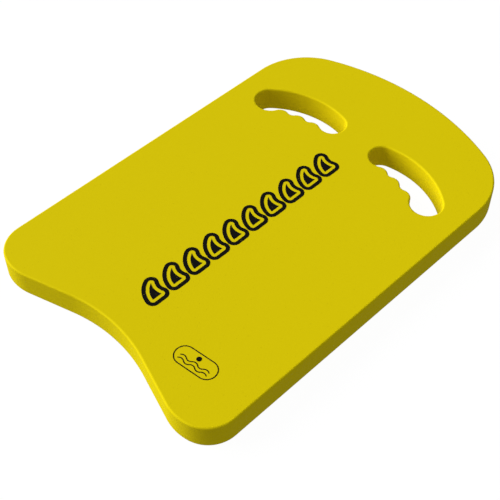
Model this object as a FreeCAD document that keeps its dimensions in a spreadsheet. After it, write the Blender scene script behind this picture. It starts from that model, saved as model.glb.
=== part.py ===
"""Foam kickboard: three laminated plies of closed-cell foam with two hand slots, and a printed deck.

Millimetres. +Z is up, +Y points to the nose and +X to the board's right side.
The origin is the centre of the underside's bounding box, on the face that the board rests on.
"""
import FreeCAD, Part
import math
import os

import Sketcher
from FreeCAD import Vector

OUTPUT_FOLDER = "parts"

# Every driving dimension, as (alias, value in millimetres or degrees, what it is).
DIMENSIONS = [
    ("board_length", 457.0, "nose to tail lobes"),
    ("board_width", 302.0, "across the parallel sides"),
    ("bottom_layer", 9.0, "thickness of the bottom layer"),
    ("core_layer", 10.0, "thickness of the core layer"),
    ("deck_layer", 9.0, "thickness of the deck layer"),
    ("edge_radius", 2.0, "soft rounding of the outer rims and slot rims"),
    ("nose_radius", 276.0, "arc across the nose"),
    ("nose_corner_radius", 72.0, "between the nose arc and a side"),
    ("notch_radius", 165.0, "concave arc in the middle of the tail"),
    ("notch_depth", 25.5, "from the tail lobes to the top of the notch"),
    ("flank_angle", 17.8, "slope of the straight flank beside the notch"),
    ("lobe_radius", 51.0, "bottom of a tail lobe"),
    ("tail_corner_radius", 33.5, "between a tail lobe and a side"),
    ("slot_front_radius", 94.8, "nose-side wall of a hand slot"),
    ("knuckle_radius", 10.1, "ridges between the finger hollows"),
    ("finger_one_x", 35.2, "centre of the inner end"),
    ("finger_one_y", 130.4, "centre of the inner end"),
    ("finger_one_radius", 14.5, "inner end and first finger hollow"),
    ("finger_two_x", 57.6, "centre of the second finger hollow"),
    ("finger_two_y", 119.6, "centre of the second finger hollow"),
    ("finger_two_radius", 5.2, "second finger hollow"),
    ("finger_three_x", 78.3, "centre of the third finger hollow"),
    ("finger_three_y", 116.5, "centre of the third finger hollow"),
    ("finger_three_radius", 7.0, "third finger hollow"),
    ("finger_four_x", 107.6, "centre of the outer end"),
    ("finger_four_y", 111.0, "centre of the outer end"),
    ("finger_four_radius", 16.4, "outer end and fourth finger hollow"),
    ("ink_thickness", 0.12, "screen-printed ink standing on the deck"),
    ("crest_pitch", 25.8, "spacing of the printed wave crests"),
    ("crest_start", -155.0, "centre of the crest nearest the tail"),
    ("crest_foot", 10.4, "core of a crest, along the board"),
    ("crest_height", 16.0, "core of a crest, across the board"),
    ("crest_lean", 6.4, "how far the tip leans to the nose"),
    ("crest_back_radius", 21.0, "convex back of a crest"),
    ("crest_face_radius", 17.0, "concave face of a crest"),
    ("crest_gap", 3.2, "bare foam line between core and outline"),
    ("crest_line", 4.1, "width of the printed outline"),
    ("badge_x", 86.0, "centre of the corner badge"),
    ("badge_y", -179.5, "centre of the corner badge"),
    ("badge_angle", 7.0, "turn of the corner badge"),
    ("badge_length", 46.0, "over the badge's border"),
    ("badge_height", 21.0, "over the badge's border"),
    ("badge_line", 1.1, "width of the badge's printed lines"),
    ("badge_sun_radius", 2.6, "disc above the ripples"),
    ("badge_sun_rise", 4.6, "centre of the disc above the badge's centre"),
    ("ripple_half_wave", 6.4, "length of one bend of a ripple"),
    ("ripple_radius", 4.8, "arc of a ripple's middle line"),
    ("ripple_rise", -1.4, "middle line of the upper ripple above the badge's centre"),
    ("ripple_spacing", 3.9, "between the two ripples"),
]
CREST_COUNT = 10
RIPPLE_COUNT = 2
RIPPLE_HALF_WAVES = 5
FINGERS = ("one", "two", "three", "four")
DECK_HEIGHT = "Dimensions.bottom_layer + Dimensions.core_layer + Dimensions.deck_layer"
FLAT_LIMIT = 1e-6
VOLUME_LIMIT = 0.001

# How a sketch numbers the points of a curve, and its own origin and axes.
START, END, CENTRE = 1, 2, 3
ORIGIN, X_AXIS, Y_AXIS = -1, -1, -2


# ---------------------------------------------------------------- document and sheet

def make_sheet(document):
    """Write the driving dimensions into a spreadsheet with one alias each."""
    sheet = document.addObject("Spreadsheet::Sheet", "Dimensions")
    for row, (alias, value, meaning) in enumerate(DIMENSIONS, start=1):
        sheet.set(f"A{row}", alias)
        sheet.set(f"B{row}", str(value))
        sheet.set(f"C{row}", meaning)
        sheet.setAlias(f"B{row}", alias)
    document.recompute()
    return sheet


def origin_plane(body, role):
    """Find one of a body's own origin planes by its role."""
    return next(feature for feature in body.Origin.OriginFeatures if feature.Role == role)


def new_sketch(body, name):
    """Make a sketch that lies on the body's own XY plane."""
    sketch = body.newObject("Sketcher::SketchObject", name)
    sketch.AttachmentSupport = [(origin_plane(body, "XY_Plane"), "")]
    sketch.MapMode = "FlatFace"
    return sketch


def bind(sketch, constraint, name, expression):
    """Add a named dimension to a sketch and drive it from the sheet."""
    index = sketch.addConstraint(constraint)
    sketch.renameConstraint(index, name)
    sketch.setExpression(f"Constraints.{name}", expression)


def arc_of_circle(centre, radius, start_angle, end_angle):
    """Anticlockwise arc between two angles in radians."""
    circle = Part.Circle(Vector(centre[0], centre[1], 0), Vector(0, 0, 1), radius)
    return Part.ArcOfCircle(circle, start_angle, end_angle)


def segment(start, end):
    """Straight sketch line between two points."""
    return Part.LineSegment(Vector(start[0], start[1], 0), Vector(end[0], end[1], 0))


def bearing(from_point, to_point):
    """Angle of the line from one point to another, in radians."""
    return math.atan2(to_point[1] - from_point[1], to_point[0] - from_point[0])


def polar(centre, radius, angle):
    """Point at a radius and angle from a centre."""
    return (centre[0] + radius * math.cos(angle), centre[1] + radius * math.sin(angle))


def circle_meeting(first, first_reach, second, second_reach):
    """Centre at given distances from two centres, on the right of the line from first to second."""
    gap = math.dist(first, second)
    along = (first_reach ** 2 - second_reach ** 2 + gap ** 2) / (2 * gap)
    aside = math.sqrt(first_reach ** 2 - along ** 2)
    direction = bearing(first, second)
    return polar(polar(first, along, direction), aside, direction - math.pi / 2)


# ---------------------------------------------------------------- foam plies

def draw_half_outline(sketch, sheet):
    """Right half of the board's outline: notch, flank, lobe, corner, side, corner and nose."""
    half_width = sheet.board_width / 2
    nose_y = sheet.board_length / 2
    slope = math.radians(sheet.flank_angle)
    notch_y = -nose_y + sheet.notch_depth
    notch_centre = (0.0, notch_y - sheet.notch_radius)
    notch_end = polar(notch_centre, sheet.notch_radius, math.pi / 2 - slope)
    lobe_y = -nose_y + sheet.lobe_radius
    # The lobe's centre is one lobe radius above the flank line, at its own height.
    rise = lobe_y - (notch_end[1] + sheet.lobe_radius * math.cos(slope))
    flank_run = -rise / math.sin(slope)
    flank_end = polar(notch_end, flank_run, -slope)
    lobe_centre = polar(flank_end, sheet.lobe_radius, math.pi / 2 - slope)
    corner_x = half_width - sheet.tail_corner_radius
    reach = sheet.lobe_radius - sheet.tail_corner_radius
    corner_centre = (corner_x, lobe_centre[1] - math.sqrt(reach ** 2 - (corner_x - lobe_centre[0]) ** 2))
    join_angle = bearing(lobe_centre, corner_centre)
    nose_centre = (0.0, nose_y - sheet.nose_radius)
    shoulder_x = half_width - sheet.nose_corner_radius
    nose_reach = sheet.nose_radius - sheet.nose_corner_radius
    shoulder_centre = (shoulder_x, nose_centre[1] + math.sqrt(nose_reach ** 2 - shoulder_x ** 2))
    nose_angle = bearing(nose_centre, shoulder_centre)

    notch, flank, lobe, corner, side, shoulder, nose, middle = sketch.addGeometry([
        arc_of_circle(notch_centre, sheet.notch_radius, math.pi / 2 - slope, math.pi / 2),
        segment(notch_end, flank_end),
        arc_of_circle(lobe_centre, sheet.lobe_radius, -math.pi / 2 - slope, join_angle),
        arc_of_circle(corner_centre, sheet.tail_corner_radius, join_angle, 0.0),
        segment((half_width, corner_centre[1]), (half_width, shoulder_centre[1])),
        arc_of_circle(shoulder_centre, sheet.nose_corner_radius, 0.0, nose_angle),
        arc_of_circle(nose_centre, sheet.nose_radius, nose_angle, math.pi / 2),
        segment((0.0, nose_y), (0.0, notch_y)),
    ], False)
    smooth_joints = [
        (notch, START, flank, START), (flank, END, lobe, START), (lobe, END, corner, START),
        (corner, END, side, START), (side, END, shoulder, START), (shoulder, END, nose, START),
    ]
    for joint in smooth_joints:
        sketch.addConstraint(Sketcher.Constraint("Tangent", *joint))
    sketch.addConstraint(Sketcher.Constraint("Coincident", nose, END, middle, START))
    sketch.addConstraint(Sketcher.Constraint("Coincident", middle, END, notch, END))
    sketch.addConstraint(Sketcher.Constraint("Vertical", middle))
    sketch.addConstraint(Sketcher.Constraint("Vertical", side))
    for curve, point in ((middle, START), (notch, CENTRE), (nose, CENTRE)):
        sketch.addConstraint(Sketcher.Constraint("PointOnObject", curve, point, Y_AXIS))
    radii = {
        "notch_radius": notch, "lobe_radius": lobe, "tail_corner_radius": corner,
        "nose_corner_radius": shoulder, "nose_radius": nose,
    }
    for alias, curve in radii.items():
        bind(sketch, Sketcher.Constraint("Radius", curve, sheet.get(alias)), alias, f"Dimensions.{alias}")
    bind(sketch, Sketcher.Constraint("DistanceX", ORIGIN, START, side, START, half_width),
         "half_width", "Dimensions.board_width / 2")
    bind(sketch, Sketcher.Constraint("DistanceY", ORIGIN, START, nose, END, nose_y),
         "nose_y", "Dimensions.board_length / 2")
    bind(sketch, Sketcher.Constraint("DistanceY", lobe, CENTRE, ORIGIN, START, -lobe_y),
         "lobe_below", "Dimensions.board_length / 2 - Dimensions.lobe_radius")
    bind(sketch, Sketcher.Constraint("DistanceY", notch, END, ORIGIN, START, -notch_y),
         "notch_below", "Dimensions.board_length / 2 - Dimensions.notch_depth")
    bind(sketch, Sketcher.Constraint("Angle", flank, START, X_AXIS, START, slope),
         "flank_slope", "Dimensions.flank_angle * 1 deg")


def draw_slot(sketch, sheet):
    """Hand slot on the right side: a smooth nose-side wall, and finger hollows with knuckles between."""
    centres = [(sheet.get(f"finger_{name}_x"), sheet.get(f"finger_{name}_y")) for name in FINGERS]
    radii = [sheet.get(f"finger_{name}_radius") for name in FINGERS]
    ridge_radius = sheet.knuckle_radius
    wall_radius = sheet.slot_front_radius
    pairs = list(zip(range(len(FINGERS) - 1), range(1, len(FINGERS))))
    ridge_centres = [
        circle_meeting(centres[this], radii[this] + ridge_radius, centres[then], radii[then] + ridge_radius)
        for this, then in pairs
    ]
    wall_centre = circle_meeting(centres[0], wall_radius - radii[0], centres[-1], wall_radius - radii[-1])
    wall_start = bearing(wall_centre, centres[-1])
    wall_end = bearing(wall_centre, centres[0])
    starts = [wall_end] + [bearing(centres[then], ridge_centres[this]) for this, then in pairs]
    ends = [bearing(centres[this], ridge_centres[this]) for this, then in pairs] + [wall_start]

    wall = sketch.addGeometry(arc_of_circle(wall_centre, wall_radius, wall_start, wall_end), False)
    fingers = [
        sketch.addGeometry(arc_of_circle(*arc), False) for arc in zip(centres, radii, starts, ends)
    ]
    ridges = []
    for this, then in pairs:
        centre = ridge_centres[this]
        arc = arc_of_circle(
            centre, ridge_radius, bearing(centre, centres[then]), bearing(centre, centres[this]))
        ridges.append(sketch.addGeometry(arc, False))
    joints = [(wall, END, fingers[0], START), (fingers[-1], END, wall, START)]
    for this, then in pairs:
        joints.append((fingers[this], END, ridges[this], END))
        joints.append((ridges[this], START, fingers[then], START))
    for joint in joints:
        sketch.addConstraint(Sketcher.Constraint("Tangent", *joint))
    for ridge in ridges[1:]:
        sketch.addConstraint(Sketcher.Constraint("Equal", ridges[0], ridge))
    bind(sketch, Sketcher.Constraint("Radius", ridges[0], ridge_radius),
         "knuckle_radius", "Dimensions.knuckle_radius")
    bind(sketch, Sketcher.Constraint("Radius", wall, wall_radius),
         "slot_front_radius", "Dimensions.slot_front_radius")
    for name, finger, centre, radius in zip(FINGERS, fingers, centres, radii):
        bind(sketch, Sketcher.Constraint("Radius", finger, radius),
             f"radius_{name}", f"Dimensions.finger_{name}_radius")
        bind(sketch, Sketcher.Constraint("DistanceX", ORIGIN, START, finger, CENTRE, centre[0]),
             f"x_{name}", f"Dimensions.finger_{name}_x")
        bind(sketch, Sketcher.Constraint("DistanceY", ORIGIN, START, finger, CENTRE, centre[1]),
             f"y_{name}", f"Dimensions.finger_{name}_y")


def edges_at_height(shape, height):
    """Names of the edges that lie flat at a height."""
    names = []
    for number, edge in enumerate(shape.Edges, start=1):
        box = edge.BoundBox
        if abs(box.ZMin - height) < FLAT_LIMIT and abs(box.ZMax - height) < FLAT_LIMIT:
            names.append(f"Edge{number}")
    return names


def make_ply(document, sheet, label, base_expression, rounded_rim=None):
    """One foam layer, named by its thickness. rounded_rim is the rim to soften: top or bottom."""
    thickness = sheet.get(label)
    body = document.addObject("PartDesign::Body", label)
    body.Label = label
    outline = new_sketch(body, f"{label}_half_outline")
    draw_half_outline(outline, sheet)
    pad = body.newObject("PartDesign::Pad", f"{label}_half_sheet")
    pad.Profile = outline
    pad.setExpression("Length", f"Dimensions.{label}")
    document.recompute()
    slot = new_sketch(body, f"{label}_slot")
    draw_slot(slot, sheet)
    pocket = body.newObject("PartDesign::Pocket", f"{label}_hand_slot")
    pocket.Profile = slot
    pocket.Type = "ThroughAll"
    pocket.Reversed = True
    document.recompute()
    cut = pad.Shape.Volume - pocket.Shape.Volume
    expected = Part.Face(slot.Shape).Area * thickness
    if abs(cut - expected) > VOLUME_LIMIT * expected:
        raise RuntimeError(f"{label}: the hand slot took away {cut:.0f} mm3 instead of {expected:.0f}")
    whole = body.newObject("PartDesign::Mirrored", f"{label}_whole_sheet")
    whole.Originals = [pad, pocket]
    whole.MirrorPlane = (origin_plane(body, "YZ_Plane"), [""])
    whole.Refine = True
    body.Tip = whole
    document.recompute()
    if rounded_rim:
        height = thickness if rounded_rim == "top" else 0.0
        fillet = body.newObject("PartDesign::Fillet", f"{label}_soft_rim")
        fillet.Base = (whole, edges_at_height(whole.Shape, height))
        fillet.setExpression("Radius", "Dimensions.edge_radius")
        body.Tip = fillet
        document.recompute()
    body.setExpression(".Placement.Base.z", base_expression)
    return body


# ---------------------------------------------------------------- printed films

def make_ink(document, name, flat):
    """Raise a flat face or closed wire into a film of ink."""
    ink = document.addObject("Part::Extrusion", name)
    ink.Base = flat
    ink.DirMode = "Custom"
    ink.Dir = Vector(0, 0, 1)
    ink.Solid = True
    ink.setExpression("LengthFwd", "Dimensions.ink_thickness")
    return ink


def make_offset(document, name, source, width_expression, filled):
    """Closed edge at a distance from a wire. Filled, it is the flat band between the two."""
    offset = document.addObject("Part::Offset2D", name)
    offset.Source = source
    offset.Mode = "Pipe"
    offset.Join = "Arc"
    offset.Fill = filled
    offset.setExpression("Value", width_expression)
    return offset


def place_print(document, label, pieces, spot, angle_expression=None):
    """One printed node: the given films of ink, set down on the deck at a spot."""
    node = document.addObject("Part::Compound", label)
    node.Label = label
    node.Links = pieces
    node.setExpression(".Placement.Base.x", spot[0])
    node.setExpression(".Placement.Base.y", spot[1])
    node.setExpression(".Placement.Base.z", DECK_HEIGHT)
    if angle_expression:
        node.setExpression(".Placement.Rotation.Angle", angle_expression)
    return node


# ---------------------------------------------------------------- printed wave crests

def draw_crest(sketch, sheet):
    """Core of one wave crest: a straight foot, a rounded back and a hollow face. Its tip points to -X."""
    half_foot = sheet.crest_foot / 2
    half_height = sheet.crest_height / 2
    heel = (half_height, -half_foot)
    toe = (half_height, half_foot)
    tip = (-half_height, sheet.crest_lean)
    back_centre = circle_meeting(heel, sheet.crest_back_radius, tip, sheet.crest_back_radius)
    face_centre = circle_meeting(toe, sheet.crest_face_radius, tip, sheet.crest_face_radius)
    back, face, foot = sketch.addGeometry([
        arc_of_circle(back_centre, sheet.crest_back_radius,
                      bearing(back_centre, tip), bearing(back_centre, heel)),
        arc_of_circle(face_centre, sheet.crest_face_radius,
                      bearing(face_centre, tip), bearing(face_centre, toe)),
        segment(heel, toe),
    ], False)
    for joint in ((back, START, face, START), (back, END, foot, START), (face, END, foot, END)):
        sketch.addConstraint(Sketcher.Constraint("Coincident", *joint))
    sketch.addConstraint(Sketcher.Constraint("Symmetric", foot, START, foot, END, X_AXIS))
    bind(sketch, Sketcher.Constraint("DistanceY", foot, START, foot, END, sheet.crest_foot),
         "foot", "Dimensions.crest_foot")
    bind(sketch, Sketcher.Constraint("DistanceX", ORIGIN, START, foot, START, half_height),
         "foot_below", "Dimensions.crest_height / 2")
    bind(sketch, Sketcher.Constraint("DistanceX", face, START, ORIGIN, START, half_height),
         "tip_above", "Dimensions.crest_height / 2")
    bind(sketch, Sketcher.Constraint("DistanceY", ORIGIN, START, face, START, sheet.crest_lean),
         "lean", "Dimensions.crest_lean")
    bind(sketch, Sketcher.Constraint("Radius", back, sheet.crest_back_radius),
         "back_radius", "Dimensions.crest_back_radius")
    bind(sketch, Sketcher.Constraint("Radius", face, sheet.crest_face_radius),
         "face_radius", "Dimensions.crest_face_radius")


def make_crests(document, sheet):
    """A row of equal crests down the middle of the deck. Each is an outline round a solid core."""
    core = document.addObject("Sketcher::SketchObject", "crest_core_edge")
    draw_crest(core, sheet)
    gap_edge = make_offset(document, "crest_gap_edge", core, "Dimensions.crest_gap", False)
    outline = make_offset(document, "crest_outline_face", gap_edge, "Dimensions.crest_line", True)
    films = [
        make_ink(document, "crest_outline_ink", outline),
        make_ink(document, "crest_core_ink", core),
    ]
    crests = []
    for number in range(CREST_COUNT):
        spot = ("0 mm", f"Dimensions.crest_start + {number} * Dimensions.crest_pitch")
        crests.append(place_print(document, f"crest_print_{number + 1:02d}", films, spot))
    return crests


# ---------------------------------------------------------------- printed badge

def draw_badge_border(sketch, sheet):
    """Outer edge of the badge: two straight sides and two round ends."""
    radius = sheet.badge_height / 2
    reach = sheet.badge_length / 2 - radius
    right, upper, left, lower = sketch.addGeometry([
        arc_of_circle((reach, 0), radius, -math.pi / 2, math.pi / 2),
        segment((reach, radius), (-reach, radius)),
        arc_of_circle((-reach, 0), radius, math.pi / 2, -math.pi / 2),
        segment((-reach, -radius), (reach, -radius)),
    ], False)
    for joint in ((right, END, upper, START), (upper, END, left, START),
                  (left, END, lower, START), (lower, END, right, START)):
        sketch.addConstraint(Sketcher.Constraint("Tangent", *joint))
    sketch.addConstraint(Sketcher.Constraint("Symmetric", left, CENTRE, right, CENTRE, ORIGIN, START))
    sketch.addConstraint(Sketcher.Constraint("PointOnObject", right, CENTRE, X_AXIS))
    bind(sketch, Sketcher.Constraint("Radius", right, radius), "end_radius", "Dimensions.badge_height / 2")
    bind(sketch, Sketcher.Constraint("DistanceX", ORIGIN, START, right, CENTRE, reach),
         "reach", "(Dimensions.badge_length - Dimensions.badge_height) / 2")


def draw_ripple(sketch, sheet):
    """Middle line of one ripple: equal arcs bending up and down in turn along the X axis."""
    length = sheet.ripple_half_wave
    radius = sheet.ripple_radius
    sweep = math.asin(length / (2 * radius))
    drop = radius * math.cos(sweep)
    half_ripple = RIPPLE_HALF_WAVES * length / 2
    previous = None
    for number in range(RIPPLE_HALF_WAVES):
        middle = (number + 0.5) * length - half_ripple
        if number % 2 == 0:
            top, centre, left, right = math.pi / 2, (middle, -drop), END, START
        else:
            top, centre, left, right = -math.pi / 2, (middle, drop), START, END
        arc = sketch.addGeometry(arc_of_circle(centre, radius, top - sweep, top + sweep), False)
        if previous:
            sketch.addConstraint(Sketcher.Constraint("Coincident", *previous, arc, left))
        else:
            sketch.addConstraint(Sketcher.Constraint("PointOnObject", arc, left, X_AXIS))
            bind(sketch, Sketcher.Constraint("DistanceX", arc, left, ORIGIN, START, half_ripple),
                 "left_end", f"{RIPPLE_HALF_WAVES} * Dimensions.ripple_half_wave / 2")
        sketch.addConstraint(Sketcher.Constraint("PointOnObject", arc, right, X_AXIS))
        bind(sketch, Sketcher.Constraint("DistanceX", arc, left, arc, right, length),
             f"length_{number}", "Dimensions.ripple_half_wave")
        bind(sketch, Sketcher.Constraint("Radius", arc, radius), f"radius_{number}",
             "Dimensions.ripple_radius")
        previous = (arc, right)


def make_badge(document, sheet):
    """Corner badge: a rounded border with two ripples and a small sun, turned a little."""
    edge = document.addObject("Sketcher::SketchObject", "badge_border_edge")
    draw_badge_border(edge, sheet)
    border_face = make_offset(document, "badge_border_face", edge, "-Dimensions.badge_line", True)
    border = make_ink(document, "badge_border_ink", border_face)
    line = document.addObject("Sketcher::SketchObject", "badge_ripple_line")
    draw_ripple(line, sheet)
    ripples = []
    for number in range(RIPPLE_COUNT):
        stroke = make_offset(
            document, f"badge_ripple_edge_{number + 1}", line, "Dimensions.badge_line / 2", False)
        ripple = make_ink(document, f"badge_ripple_ink_{number + 1}", stroke)
        ripple.setExpression(
            ".Placement.Base.y", f"Dimensions.ripple_rise - {number} * Dimensions.ripple_spacing")
        ripples.append(ripple)
    sun = document.addObject("Part::Cylinder", "badge_sun_ink")
    sun.setExpression("Radius", "Dimensions.badge_sun_radius")
    sun.setExpression("Height", "Dimensions.ink_thickness")
    sun.setExpression(".Placement.Base.y", "Dimensions.badge_sun_rise")
    spot = ("Dimensions.badge_x", "Dimensions.badge_y")
    angle = "Dimensions.badge_angle * 1 deg"
    return [
        place_print(document, "badge_border_print", [border], spot, angle),
        place_print(document, "badge_ripple_print", ripples, spot, angle),
        place_print(document, "badge_sun_print", [sun], spot, angle),
    ]


# ---------------------------------------------------------------- build, check and write

def check(document, nodes):
    """Stop on a failed object or on a node whose shape isn't a set of valid closed solids."""
    for item in document.Objects:
        bad = [state for state in item.State if state in ("Invalid", "Error")]
        if bad:
            raise RuntimeError(f"{item.Label}: {bad}")
    for node in nodes:
        shape = node.Shape
        if shape.isNull() or not shape.isValid() or not shape.Solids or shape.Volume <= 0:
            raise RuntimeError(f"{node.Label}: bad shape")


def main():
    """Build every node, check it, and write one STEP file each."""
    document = FreeCAD.newDocument("kickboard")
    sheet = make_sheet(document)
    nodes = [
        make_ply(document, sheet, "bottom_layer", "0 mm", "bottom"),
        make_ply(document, sheet, "core_layer", "Dimensions.bottom_layer"),
        make_ply(document, sheet, "deck_layer", "Dimensions.bottom_layer + Dimensions.core_layer", "top"),
    ]
    nodes.extend(make_crests(document, sheet))
    nodes.extend(make_badge(document, sheet))
    document.recompute()
    check(document, nodes)
    os.makedirs(OUTPUT_FOLDER, exist_ok=True)
    for node in nodes:
        shape = node.Shape
        shape.exportStep(os.path.join(OUTPUT_FOLDER, f"{node.Label}.step"))
        box = shape.BoundBox
        print(f"{node.Label:20s} solids {len(shape.Solids)} volume {shape.Volume:12.1f} "
              f"x {box.XMin:8.2f} {box.XMax:8.2f} y {box.YMin:8.2f} {box.YMax:8.2f} "
              f"z {box.ZMin:6.2f} {box.ZMax:6.2f}")


main()
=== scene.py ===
"""Looks of the foam kickboard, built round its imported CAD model. Everything is in metres.

The three foam layers and the thirteen printed films are rebuilt as fine meshes on the CAD outlines, with
soft rims, hairline bond seams between the layers and printed films with eased edges. Each piece gets a
procedural material at its real scale.
"""

import math

import bmesh
import bpy
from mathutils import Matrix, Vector, geometry


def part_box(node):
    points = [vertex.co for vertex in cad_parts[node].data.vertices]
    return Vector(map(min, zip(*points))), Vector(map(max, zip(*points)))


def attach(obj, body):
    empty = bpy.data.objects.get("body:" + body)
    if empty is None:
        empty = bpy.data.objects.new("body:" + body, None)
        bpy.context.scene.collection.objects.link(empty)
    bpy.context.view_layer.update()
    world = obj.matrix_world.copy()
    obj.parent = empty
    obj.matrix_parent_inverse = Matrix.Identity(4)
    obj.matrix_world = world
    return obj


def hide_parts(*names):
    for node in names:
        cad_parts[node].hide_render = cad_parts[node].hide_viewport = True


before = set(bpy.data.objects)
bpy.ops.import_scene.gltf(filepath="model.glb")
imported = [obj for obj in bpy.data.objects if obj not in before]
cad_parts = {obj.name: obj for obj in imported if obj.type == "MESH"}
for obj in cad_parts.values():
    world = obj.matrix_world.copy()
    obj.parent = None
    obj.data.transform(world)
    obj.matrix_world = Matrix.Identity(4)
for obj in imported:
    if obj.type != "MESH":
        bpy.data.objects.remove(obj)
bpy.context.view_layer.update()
MM = 0.001

# Meshes. An outline's points are SPACING apart, and its edges longer than STRAIGHT are kept straight. A
# SUPPORT is a narrow flat strip beside a rounded edge, so that the flat beyond it shades as flat.
WELD = 0.001 * MM
CORNER_TURN = math.radians(35)
FOAM_SPACING = 1.6 * MM
FOAM_STRAIGHT = 10 * MM
FOAM_SUPPORT = 0.4 * MM
RIM_RADIUS = 2.0 * MM
RIM_STEPS = 8
SEAM_RADIUS = 0.12 * MM
SEAM_STEPS = 2
INK_SPACING = 0.6 * MM
INK_STRAIGHT = 4 * MM
INK_SUPPORT = 0.06 * MM
INK_EDGE_RADIUS = 0.04 * MM
INK_SUNK = 0.02 * MM
TRIANGLES_INSIDE = 1    # an output type of delaunay_2d_cdt

# Colours are linear. The foam's blue is close to nothing, which keeps it a pure yellow.
FOAM_COLOUR = (0.774, 0.634, 0.0011)
FOAM_DEEP_COLOUR = (0.758, 0.618, 0.0008)
# The pore colour is the foam in painted shade, for the insides of pinholes and opened cells.
FOAM_PORE_SHADE_COLOUR = (0.600, 0.470, 0.0008)
# The rims' paler colour is partly rubbed wear and partly a painted highlight along every rim.
FOAM_RUBBED_AND_HIGHLIGHT_COLOUR = (0.800, 0.662, 0.0030)
INK_COLOUR = (0.0022, 0.0020, 0.0016)
INK_WORN_COLOUR = (0.013, 0.011, 0.005)

# Textures. A SIZE is that of the features and a DEPTH that of their relief. A RANGE is where in a pattern's
# values a feature fades in, and an AMOUNT is how far it changes the colour.
GRAIN_SIZE, GRAIN_RANGE = 0.9 * MM, (0.40, 0.75)
MOTTLE_SIZE, MOTTLE_RANGE, MOTTLE_AMOUNT = 60 * MM, (0.35, 0.65), 0.3
SCUFF_AND_HIGHLIGHT_SIZE, SCUFF_AND_HIGHLIGHT_RANGE = 9 * MM, (0.40, 0.60)
CELL_SIZE, CELL_DEPTH, CELL_DEPTH_IN_INK = 0.75 * MM, 0.035 * MM, 0.028 * MM
DIMPLE_SIZE, DIMPLE_DEPTH = 4 * MM, 0.02 * MM
# The opened cells' and pinholes' colour AMOUNT paints shade into them; in the ink, the pinholes show the
# foam in painted shade.
OPEN_CELL_SIZE, OPEN_CELL_RANGE = 1.3 * MM, (0.25, 0.50)
OPEN_CELL_SHADE_AMOUNT, OPEN_CELL_DEPTH = 0.25, 0.05 * MM
PINHOLE_PITCH, PINHOLE_RANGE = 4.2 * MM, (0.045, 0.080)
PINHOLE_SHADE_AMOUNT, PINHOLE_DEPTH = 0.7, 0.12 * MM
PINHOLE_FOAM_AND_SHADE_AMOUNT_IN_INK, PINHOLE_DEPTH_IN_INK = 0.5, 0.08 * MM
INK_WEAR_SIZE, INK_WEAR_RANGE = 1.4 * MM, (0.60, 0.72)
INK_GRAIN_SIZE, INK_GRAIN_DEPTH = 0.35 * MM, 0.008 * MM
PATCH_DETAIL = 3.0    # noise detail of the mottle, the rims' scuffs and painted highlight, and the ink's wear, which have ragged edges

# How far round a rim the wall's opened cells fade out, and the paler rubbing, partly rubbed wear and partly
# a painted highlight, fades in and out again. The wall is 0 and the flat is 1.
OPEN_CELLS_FADE_OUT = (0.0, 0.5)
RUBBING_AND_HIGHLIGHT_FADES_IN = (0.2, 0.6)
RUBBING_AND_HIGHLIGHT_FADES_OUT = (0.90, 0.999)
RUBBING_AND_HIGHLIGHT_AMOUNT = 0.6

# Sheen: the size of its patches, the noise range that they take, and the roughness that it becomes
FOAM_SHEEN_SIZE, FOAM_SHEEN_RANGE, FOAM_ROUGHNESS = 2.5 * MM, (0.3, 0.7), (0.66, 0.80)
INK_SHEEN_SIZE, INK_SHEEN_RANGE, INK_ROUGHNESS = 5 * MM, (0.35, 0.65), (0.46, 0.60)
FOAM_SPECULAR = 0.04
INK_SPECULAR = 0.10

# Studio
AMBIENT = 0.315
KEY_FROM = (-0.775, -0.448, 0.446)
KEY_STRENGTH = 3.72
KEY_SPREAD = math.radians(50)
STAGE_RADIUS = 12.0
FLOOR_SEGMENTS = 96
DOME_SEGMENTS, DOME_RINGS = 48, 24
FLOOR_GLOW = 0.97
FLOOR_PAINT = 0.05

# Camera
CAMERA_TARGET = Vector((0.0112, -0.0386, 0.0))
CAMERA_AZIMUTH = math.radians(45.16)
CAMERA_ELEVATION = math.radians(49.58)
CAMERA_DISTANCE = 1.032
CAMERA_LENS = 75.5
CAMERA_SENSOR = 36.0


# ---------------------------------------------------------------- outlines read from the CAD nodes

def top_rings(node):
    """Edges of a CAD node's flat top as closed rings of points, each with the material on its left."""
    mesh = bmesh.new()
    mesh.from_mesh(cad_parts[node].data)
    bmesh.ops.remove_doubles(mesh, verts=mesh.verts, dist=WELD)
    top = max(vert.co.z for vert in mesh.verts)

    def is_top(face):
        return all(top - vert.co.z < WELD for vert in face.verts)

    following = {}
    for face in filter(is_top, mesh.faces):
        for loop in face.loops:
            if not any(is_top(other) for other in loop.edge.link_faces if other != face):
                following[loop.vert] = loop.link_loop_next.vert
    rings = []
    while following:
        start, vert = following.popitem()
        ring = [start.co.xy]
        while vert != start:
            ring.append(vert.co.xy)
            vert = following.pop(vert)
        rings.append(ring)
    mesh.free()
    return rings


def smooth_ring(ring, spacing, straight):
    """More points on a ring: even steps along its straights, and along the arcs between its points."""
    count = len(ring)
    edges = [ring[(i + 1) % count] - ring[i] for i in range(count)]
    lengths = [edge.length for edge in edges]
    units = [edge.normalized() for edge in edges]
    leaving, reaching = [], []
    for i in range(count):
        before, after = units[i - 1], units[i]
        if before.angle(after) > CORNER_TURN:
            leaving.append(after)
            reaching.append(before)
            continue
        if lengths[i] > straight:
            along = after
        elif lengths[i - 1] > straight:
            along = before
        else:
            along = (before * lengths[i] + after * lengths[i - 1]).normalized()
        leaving.append(along)
        reaching.append(along)
    points = []
    for i in range(count):
        start, end, length = ring[i], ring[(i + 1) % count], lengths[i]
        steps = max(1, math.ceil(length / spacing))
        for step in range(steps):
            t = step / steps
            into = t * t * (3 - 2 * t)
            lead = length * t * (1 - t) * ((1 - t) * leaving[i] - t * reaching[(i + 1) % count])
            points.append(start + (end - start) * into + lead)
    return points


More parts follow.
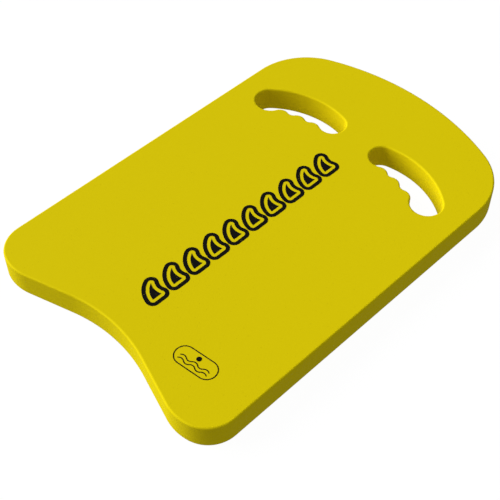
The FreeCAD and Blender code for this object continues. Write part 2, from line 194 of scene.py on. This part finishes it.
def outward_normals(ring):
    """Unit vectors that point out of the material at each point of a ring."""
    normals = []
    for i, point in enumerate(ring):
        along = ring[(i + 1) % len(ring)] - ring[i - 1]
        normals.append(Vector((along.y, -along.x)).normalized())
    return normals


# ---------------------------------------------------------------- solids built on rings

def quarter_round(radius, steps):
    """(inset, rise) from the wall to the flat, round a quarter circle."""
    turns = [math.pi / 2 * step / steps for step in range(steps + 1)]
    return [(radius * (1 - math.cos(turn)), radius * math.sin(turn)) for turn in turns]


def edge_profile(low, high, low_rim, high_rim):
    """(inset, height, how far round the rim) up a wall. A rim is the radius and steps of its rounding."""
    low_radius, high_radius = low_rim[0], high_rim[0]
    lower = [
        (inset, low + low_radius - rise, rise / low_radius)
        for inset, rise in reversed(quarter_round(*low_rim))
    ]
    upper = [
        (inset, high - high_radius + rise, rise / high_radius)
        for inset, rise in quarter_round(*high_rim)
    ]
    return [
        (low_radius + FOAM_SUPPORT, low, 1.0), *lower,
        (0.0, low + low_radius + FOAM_SUPPORT, 0.0),
        (0.0, high - high_radius - FOAM_SUPPORT, 0.0),
        *upper, (high_radius + FOAM_SUPPORT, high, 1.0),
    ]


def keep_inside(triangles, ring_edges):
    """Drop the triangles outside the rings, which have the material on the left of their edges."""
    owner = {}
    for index, (a, b, c) in enumerate(triangles):
        for edge in ((a, b), (b, c), (c, a)):
            owner[edge] = index
    found = {owner[edge] for edge in ring_edges if edge in owner}
    waiting = list(found)
    while waiting:
        a, b, c = triangles[waiting.pop()]
        for edge in ((a, b), (b, c), (c, a)):
            beyond = owner.get(edge[::-1])
            if beyond is not None and beyond not in found and edge not in ring_edges:
                found.add(beyond)
                waiting.append(beyond)
    return [triangles[index] for index in sorted(found)]


def cap(mesh, ring_verts, upward):
    """Fill the flat end between rings of vertices with triangles."""
    verts, edges = [], []
    for ring in ring_verts:
        first = len(verts)
        count = len(ring)
        verts.extend(ring)
        edges.extend((first + i, first + (i + 1) % count) for i in range(count))
    points = [vert.co.xy for vert in verts]
    _, _, triangles, sources, _, _ = geometry.delaunay_2d_cdt(points, edges, [], TRIANGLES_INSIDE, WELD / 10)
    output = {source: index for index, given in enumerate(sources) for source in given}
    ring_edges = {(output[a], output[b]) for a, b in edges}
    made = {output[index]: vert for index, vert in enumerate(verts)}
    for triangle in keep_inside([tuple(triangle) for triangle in triangles], ring_edges):
        corners = [made[index] for index in triangle]
        mesh.faces.new(corners if upward else reversed(corners))


def solid(name, rings, profile):
    """Closed mesh whose walls follow rings up a profile, with a flat at each end."""
    mesh = bmesh.new()
    rim = mesh.verts.layers.float.new("rim")
    lowest, highest = [], []
    for ring in rings:
        normals = outward_normals(ring)
        levels = []
        for inset, height, round_rim in profile:
            level = []
            for point, normal in zip(ring, normals):
                vert = mesh.verts.new((point - normal * inset).to_3d() + Vector((0, 0, height)))
                vert[rim] = round_rim
                level.append(vert)
            levels.append(level)
        for lower, upper in zip(levels, levels[1:]):
            for i in range(len(ring)):
                j = (i + 1) % len(ring)
                mesh.faces.new((lower[i], lower[j], upper[j], upper[i]))
        lowest.append(levels[0])
        highest.append(levels[-1])
    cap(mesh, lowest, upward=False)
    cap(mesh, highest, upward=True)
    data = bpy.data.meshes.new(name)
    mesh.to_mesh(data)
    mesh.free()
    data.polygons.foreach_set("use_smooth", [True] * len(data.polygons))
    piece = bpy.data.objects.new(name, data)
    bpy.context.scene.collection.objects.link(piece)
    return piece


# ---------------------------------------------------------------- foam layers and ink

def make_foam():
    """The three foam layers. Only the board's outer rims are soft; the rims between layers make seams."""
    outline = [smooth_ring(ring, FOAM_SPACING, FOAM_STRAIGHT) for ring in top_rings("core_layer")]
    soft = (RIM_RADIUS, RIM_STEPS)
    seam = (SEAM_RADIUS, SEAM_STEPS)
    pieces = []
    for name, low_rim, high_rim in (("bottom", soft, seam), ("core", seam, seam), ("deck", seam, soft)):
        node = f"{name}_layer"
        low, high = (corner.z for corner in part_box(node))
        piece = solid(f"{name}_foam", outline, edge_profile(low, high, low_rim, high_rim))
        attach(piece, "root")
        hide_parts(node)
        pieces.append(piece)
    return pieces


def make_ink():
    """The printed films. Each is set a hair into the deck, so that no two faces lie on each other."""
    pieces = []
    for node in sorted(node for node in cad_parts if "print" in node):
        low, high = (corner.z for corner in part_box(node))
        rings = [smooth_ring(ring, INK_SPACING, INK_STRAIGHT) for ring in top_rings(node)]
        profile = [
            (0.0, low - INK_SUNK, 0.0),
            (0.0, high - INK_EDGE_RADIUS, 0.0),
            (INK_EDGE_RADIUS, high, 1.0),
            (INK_EDGE_RADIUS + INK_SUPPORT, high, 1.0),
        ]
        piece = solid(node.replace("_print", "_ink"), rings, profile)
        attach(piece, "root")
        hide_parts(node)
        pieces.append(piece)
    return pieces


# ---------------------------------------------------------------- materials

class Nodes:
    """Short calls for building a material's nodes."""

    def __init__(self, name):
        self.material = bpy.data.materials.new(name)
        self.material.use_nodes = True
        self.tree = self.material.node_tree
        self.tree.nodes.clear()
        self.place = self.add("ShaderNodeTexCoord").outputs["Object"]

    def add(self, kind, inputs=None, **settings):
        """Add a node. An input is a value, or the output that it is linked from."""
        node = self.tree.nodes.new(kind)
        for key, value in settings.items():
            setattr(node, key, value)
        for key, value in (inputs or {}).items():
            if isinstance(value, bpy.types.NodeSocket):
                self.tree.links.new(value, node.inputs[key])
            else:
                node.inputs[key].default_value = value
        return node

    def noise(self, size, detail=2.0):
        """Noise with features of about that size."""
        inputs = {"Vector": self.place, "Scale": 1 / size, "Detail": detail}
        return self.add("ShaderNodeTexNoise", inputs).outputs["Fac"]

    def cells(self, size):
        """Distance from the nearest cell centre, with cells of about that size."""
        inputs = {"Vector": self.place, "Scale": 1 / size}
        return self.add("ShaderNodeTexVoronoi", inputs).outputs["Distance"]

    def pinholes(self):
        """1 in the scattered pinholes of the foam's skin. Foam and ink share them."""
        return self.ramp(self.cells(PINHOLE_PITCH), *PINHOLE_RANGE, 1.0, 0.0)

    def ramp(self, value, low, high, to_low=0.0, to_high=1.0):
        """Map a range of values to another, without going past its ends."""
        inputs = {"Value": value, "From Min": low, "From Max": high, "To Min": to_low, "To Max": to_high}
        return self.add("ShaderNodeMapRange", inputs).outputs["Result"]

    def times(self, first, second):
        """Multiply two values."""
        return self.add("ShaderNodeMath", {0: first, 1: second}, operation="MULTIPLY").outputs[0]

    def blend(self, factor, first, second):
        """Mix two colours."""
        node = self.add("ShaderNodeMix", {"Factor": factor}, data_type="RGBA")
        for socket, colour in zip([s for s in node.inputs if s.type == "RGBA"], (first, second)):
            if isinstance(colour, bpy.types.NodeSocket):
                self.tree.links.new(colour, socket)
            else:
                socket.default_value = (*colour, 1.0)
        return next(s for s in node.outputs if s.type == "RGBA")

    def bump(self, height, depth, under=None):
        """Bump of a real depth, laid over the bump under it."""
        inputs = {"Height": height, "Distance": depth, "Strength": 1.0}
        if under:
            inputs["Normal"] = under
        return self.add("ShaderNodeBump", inputs).outputs["Normal"]

    def finish(self, colour, roughness, normal, specular):
        """Join it all in one surface."""
        inputs = {
            "Base Color": colour, "Roughness": roughness, "Normal": normal,
            "Specular IOR Level": specular,
        }
        surface = self.add("ShaderNodeBsdfPrincipled", inputs)
        self.add("ShaderNodeOutputMaterial", {"Surface": surface.outputs[0]})
        return self.material


def foam_material():
    """Closed-cell foam: a fine skin on the flats, opened cells on the cut walls, painted shade in the opened
    cells and pinholes, and rims a little paler, partly rubbed wear and partly a painted highlight.
    """
    n = Nodes("closed_cell_foam")
    grain = n.ramp(n.noise(GRAIN_SIZE), *GRAIN_RANGE)
    mottle = n.ramp(n.noise(MOTTLE_SIZE, PATCH_DETAIL), *MOTTLE_RANGE, 0.0, MOTTLE_AMOUNT)
    colour = n.blend(mottle, n.blend(grain, FOAM_COLOUR, FOAM_DEEP_COLOUR), FOAM_DEEP_COLOUR)
    rim = n.add("ShaderNodeAttribute", attribute_name="rim").outputs["Fac"]
    # Paler rims: partly rubbed wear, partly a painted highlight, broken up by the scuff noise.
    rubbed_and_highlit = n.times(
        n.ramp(rim, *RUBBING_AND_HIGHLIGHT_FADES_IN), n.ramp(rim, *RUBBING_AND_HIGHLIGHT_FADES_OUT, RUBBING_AND_HIGHLIGHT_AMOUNT, 0.0))
    scuffs_and_highlight = n.ramp(n.noise(SCUFF_AND_HIGHLIGHT_SIZE, PATCH_DETAIL), *SCUFF_AND_HIGHLIGHT_RANGE)
    colour = n.blend(n.times(rubbed_and_highlit, scuffs_and_highlight), colour, FOAM_RUBBED_AND_HIGHLIGHT_COLOUR)
    # The pinholes and the wall's opened cells are darkened with painted shade.
    pinhole = n.pinholes()
    colour = n.blend(n.times(pinhole, PINHOLE_SHADE_AMOUNT), colour, FOAM_PORE_SHADE_COLOUR)
    wall = n.ramp(rim, *OPEN_CELLS_FADE_OUT, 1.0, 0.0)
    opened = n.times(wall, n.ramp(n.cells(OPEN_CELL_SIZE), *OPEN_CELL_RANGE, 1.0, 0.0))
    colour = n.blend(n.times(opened, OPEN_CELL_SHADE_AMOUNT), colour, FOAM_PORE_SHADE_COLOUR)
    normal = n.bump(n.noise(DIMPLE_SIZE), DIMPLE_DEPTH)
    normal = n.bump(n.cells(CELL_SIZE), CELL_DEPTH, normal)
    normal = n.bump(opened, -OPEN_CELL_DEPTH, normal)
    normal = n.bump(pinhole, -PINHOLE_DEPTH, normal)
    roughness = n.ramp(n.noise(FOAM_SHEEN_SIZE), *FOAM_SHEEN_RANGE, *FOAM_ROUGHNESS)
    return n.finish(colour, roughness, normal, FOAM_SPECULAR)


def ink_material():
    """Screen-printed ink: near black, satin, with the foam's cells showing through, its pinholes showing the
    foam in painted shade, and a little wear.
    """
    n = Nodes("printed_ink")
    worn = n.ramp(n.noise(INK_WEAR_SIZE, PATCH_DETAIL), *INK_WEAR_RANGE)
    pinhole = n.pinholes()
    colour = n.blend(worn, INK_COLOUR, INK_WORN_COLOUR)
    # The ink's pinholes show the foam, darkened with painted shade.
    colour = n.blend(n.times(pinhole, PINHOLE_FOAM_AND_SHADE_AMOUNT_IN_INK), colour, FOAM_PORE_SHADE_COLOUR)
    normal = n.bump(n.cells(CELL_SIZE), CELL_DEPTH_IN_INK)
    normal = n.bump(n.noise(INK_GRAIN_SIZE), INK_GRAIN_DEPTH, normal)
    normal = n.bump(pinhole, -PINHOLE_DEPTH_IN_INK, normal)
    roughness = n.ramp(n.noise(INK_SHEEN_SIZE), *INK_SHEEN_RANGE, *INK_ROUGHNESS)
    return n.finish(colour, roughness, normal, INK_SPECULAR)


# ---------------------------------------------------------------- stage, light and camera

def stage_material(name, glow, paint, one_sided):
    """Pale studio surface that glows like a light table. One-sided, it is clear from behind."""
    material = bpy.data.materials.new(name)
    material.use_nodes = True
    tree = material.node_tree
    tree.nodes.clear()
    emission = tree.nodes.new("ShaderNodeEmission")
    emission.inputs["Strength"].default_value = glow
    diffuse = tree.nodes.new("ShaderNodeBsdfDiffuse")
    diffuse.inputs["Color"].default_value = (paint, paint, paint, 1.0)
    both = tree.nodes.new("ShaderNodeAddShader")
    tree.links.new(emission.outputs[0], both.inputs[0])
    tree.links.new(diffuse.outputs[0], both.inputs[1])
    surface = both
    if one_sided:
        side = tree.nodes.new("ShaderNodeNewGeometry")
        clear = tree.nodes.new("ShaderNodeBsdfTransparent")
        surface = tree.nodes.new("ShaderNodeMixShader")
        tree.links.new(side.outputs["Backfacing"], surface.inputs[0])
        tree.links.new(both.outputs[0], surface.inputs[1])
        tree.links.new(clear.outputs[0], surface.inputs[2])
    output = tree.nodes.new("ShaderNodeOutputMaterial")
    tree.links.new(surface.outputs[0], output.inputs["Surface"])
    return material


def add_stage(name, mesh, material):
    """Add a studio surface that the camera sees and that lets the studio light through."""
    data = bpy.data.meshes.new(name)
    mesh.to_mesh(data)
    mesh.free()
    data.materials.append(material)
    data.polygons.foreach_set("use_smooth", [True] * len(data.polygons))
    piece = bpy.data.objects.new(name, data)
    bpy.context.scene.collection.objects.link(piece)
    piece.visible_diffuse = False
    piece.visible_glossy = False
    piece.visible_shadow = False


def make_stage():
    """A pale floor under the board and a white dome round it all."""
    floor = bmesh.new()
    bmesh.ops.create_circle(floor, cap_ends=True, segments=FLOOR_SEGMENTS, radius=STAGE_RADIUS)
    add_stage("studio_floor", floor, stage_material("pale_floor", FLOOR_GLOW, FLOOR_PAINT, True))
    dome = bmesh.new()
    bmesh.ops.create_uvsphere(
        dome, u_segments=DOME_SEGMENTS, v_segments=DOME_RINGS, radius=STAGE_RADIUS)
    add_stage("studio_dome", dome, stage_material("white_dome", 1.0, 0.0, False))


def make_light():
    """Even light from all round, and one broad key light low on the board's left."""
    world = bpy.data.worlds.new("studio")
    world.use_nodes = True
    background = world.node_tree.nodes["Background"]
    background.inputs["Color"].default_value = (1.0, 1.0, 1.0, 1.0)
    background.inputs["Strength"].default_value = AMBIENT
    bpy.context.scene.world = world
    data = bpy.data.lights.new("key", "SUN")
    data.energy = KEY_STRENGTH
    data.angle = KEY_SPREAD
    key = bpy.data.objects.new("key", data)
    key.rotation_mode = "QUATERNION"
    key.rotation_quaternion = Vector(KEY_FROM).to_track_quat("Z", "Y")
    bpy.context.scene.collection.objects.link(key)


def make_camera():
    """Look down on the deck from beyond its tail's right corner."""
    data = bpy.data.cameras.new("camera")
    data.lens = CAMERA_LENS
    data.sensor_width = CAMERA_SENSOR
    camera = bpy.data.objects.new("camera", data)
    back = Vector((
        math.sin(CAMERA_AZIMUTH) * math.cos(CAMERA_ELEVATION),
        -math.cos(CAMERA_AZIMUTH) * math.cos(CAMERA_ELEVATION),
        math.sin(CAMERA_ELEVATION),
    ))
    camera.location = CAMERA_TARGET + back * CAMERA_DISTANCE
    camera.rotation_mode = "QUATERNION"
    camera.rotation_quaternion = (-back).to_track_quat("-Z", "Y")
    bpy.context.scene.collection.objects.link(camera)
    bpy.context.scene.camera = camera


# ---------------------------------------------------------------- everything together

def main():
    """Build the studio and every piece."""
    make_camera()
    make_light()
    make_stage()
    bpy.context.scene.view_settings.view_transform = "Standard"
    for material, pieces in ((foam_material(), make_foam()), (ink_material(), make_ink())):
        for piece in pieces:
            piece.data.materials.append(material)


main()
